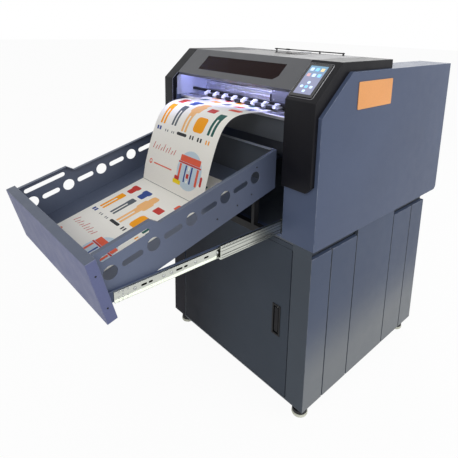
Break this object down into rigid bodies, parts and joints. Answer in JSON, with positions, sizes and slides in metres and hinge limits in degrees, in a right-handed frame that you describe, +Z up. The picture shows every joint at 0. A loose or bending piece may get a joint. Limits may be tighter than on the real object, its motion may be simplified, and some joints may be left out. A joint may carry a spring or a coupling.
{
  "type": "sheet-fed uv inkjet printer",
  "caption": "Floor-standing sheet inkjet printer on a steel cabinet, with a lifting front hood, side touch screen and a tilted catch tray pulled out on ball-bearing slides.",
  "frame": {"origin": "on the floor under the centre of the machine's box, with the tray pulled out", "axes": "+Z up, +Y from the pulled-out tray towards the rear of the machine, +X to the right seen from the front"},
  "size_m": [0.7524, 1.4254, 1.1685],
  "materials": {
    "machine_paint": "satin powder coat, blue-grey",
    "dark_paint": "satin powder coat, slate",
    "door_paint": "satin powder coat, near-black blue",
    "hood_plastic": "satin moulding",
    "black_plastic": "fine-textured black moulding",
    "tinted_pane": "polished dark tinted acrylic",
    "slide_steel": "bright zinc",
    "alloy": "drawn alloy",
    "foot_plastic": "cream moulding with black stem",
    "white_plastic": "white moulding",
    "black_rubber": "moulded rubber",
    "orange_plate": "gloss label plate, blank",
    "paper": "printed sheet",
    "display": "lit touch display",
    "light_strip": "violet-white light strip"
  },
  "bodies": {
    "machine": {"apron": "dark_paint", "base_plate": "dark_paint", "bay_back": "dark_paint", "bezel_left": "black_plastic", "bezel_right": "black_plastic", "cabinet_back": "dark_paint", "cabinet_frame": "dark_paint", "cabinet_side_left": "machine_paint", "cabinet_side_right": "machine_paint", "capping_station": "black_plastic", "door_hinge_rod": "slide_steel", "drive_belt": "black_rubber", "end_box_left": "machine_paint", "end_box_right": "machine_paint", "feed_table": "dark_paint", "foot_front_left": "foot_plastic", "foot_front_right": "foot_plastic", "foot_rear_left": "foot_plastic", "foot_rear_right": "foot_plastic", "guide_beam": "alloy", "ink_tanks": "white_plastic", "pinch_bar": "white_plastic", "platen_front": "alloy", "platen_rear": "alloy", "power_inlet": "black_plastic", "print_deck": "dark_paint", "sheet_hanging": "paper", "side_plate": "orange_plate", "sill": "machine_paint", "slide_outer_left": "slide_steel", "slide_outer_right": "slide_steel", "touch_display": "display", "touch_panel": "tinted_pane"},
    "tray": {"tray_wall_right": "dark_paint", "tray_wall_left": "dark_paint", "tray_floor": "dark_paint", "tray_rear": "dark_paint", "tray_front": "machine_paint", "tray_stand": "dark_paint", "tray_carrier_left": "machine_paint", "tray_carrier_right": "machine_paint", "slide_inner_left": "slide_steel", "slide_inner_right": "slide_steel", "sheet_lying": "paper"},
    "slide_middles": {"slide_middle_left": "slide_steel", "slide_middle_right": "slide_steel"},
    "hood": {"hood": "hood_plastic", "hood_window": "tinted_pane", "hood_top_window": "tinted_pane", "light_bar": "light_strip", "hood_rod": "black_plastic"},
    "door": {"door": "door_paint", "door_latch": "black_plastic"},
    "latch_handle": {"latch_handle": "black_plastic"},
    "power_rocker": {"power_rocker": "black_plastic"},
    "carriage": {"carriage": "hood_plastic", "print_heads": "black_plastic", "uv_lamp": "black_plastic"},
    "feed_roller": {"feed_roller": "slide_steel"},
    "pinch_rollers": {"pinch_rollers": "black_rubber"}
  },
  "joints": [
    {"name": "tray_slide", "type": "slide", "parent": "machine", "child": "tray", "axis": [0, 1, 0], "range_m": [0, 0.54], "deforming": ["sheet_hanging"]},
    {"name": "slide_middle", "type": "slide", "parent": "machine", "child": "slide_middles", "axis": [0, 1, 0], "range_m": [0, 0.27]},
    {"name": "hood_lift", "type": "hinge", "parent": "machine", "child": "hood", "pos_m": [-0.03115, 0.26823, 1.147], "axis": [-1, 0, 0], "range_deg": [0, 75]},
    {"name": "door_swing", "type": "hinge", "parent": "machine", "child": "door", "pos_m": [-0.25665, -0.08777, 0.3175], "axis": [0, 0, -1], "range_deg": [0, 100]},
    {"name": "latch_lift", "type": "hinge", "parent": "door", "child": "latch_handle", "pos_m": [0.24135, -0.09077, 0.276], "axis": [1, 0, 0], "range_deg": [0, 35]},
    {"name": "power_rock", "type": "hinge", "parent": "machine", "child": "power_rocker", "pos_m": [-0.34415, 0.70723, 0.7365], "axis": [1, 0, 0], "range_deg": [0, 12]},
    {"name": "carriage_run", "type": "slide", "parent": "machine", "child": "carriage", "axis": [1, 0, 0], "range_m": [-0.385, 0.012]},
    {"name": "feed_spin", "type": "hinge", "parent": "machine", "child": "feed_roller", "pos_m": [-0.03215, -0.03577, 0.978], "axis": [1, 0, 0], "continuous": true},
    {"name": "pinch_spin", "type": "hinge", "parent": "machine", "child": "pinch_rollers", "pos_m": [-0.03215, -0.03577, 0.9956], "axis": [1, 0, 0], "continuous": true}
  ],
  "couplings": [
    {"joint": "slide_middle", "follows": "tray_slide", "ratio": 0.5}
  ]
}
